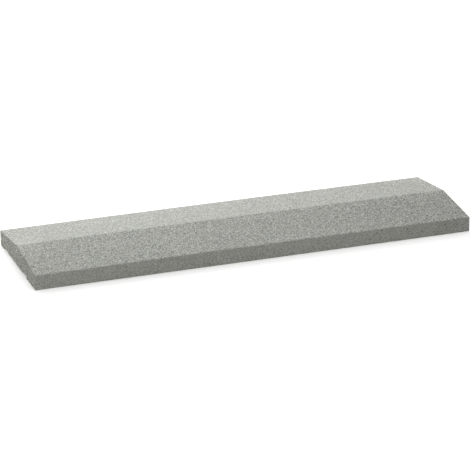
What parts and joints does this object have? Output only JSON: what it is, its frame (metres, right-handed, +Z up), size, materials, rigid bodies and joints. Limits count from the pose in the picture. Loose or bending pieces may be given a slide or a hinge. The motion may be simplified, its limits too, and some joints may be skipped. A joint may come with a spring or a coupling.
{
  "type": "wall coping stone",
  "caption": "Cast concrete coping stone that caps a wall, with a shallow slope to each side of a middle ridge and a drip groove under each edge.",
  "frame": {"origin": "middle of the bed, the flat underside that lies on the wall", "axes": "+X along the stone and the wall, +Y across the wall, +Z up through the ridge"},
  "size_m": [1, 0.28, 0.0499],
  "materials": {
    "concrete": "matte"
  },
  "bodies": {
    "root": {"coping_stone": "concrete"}
  },
  "joints": []
}
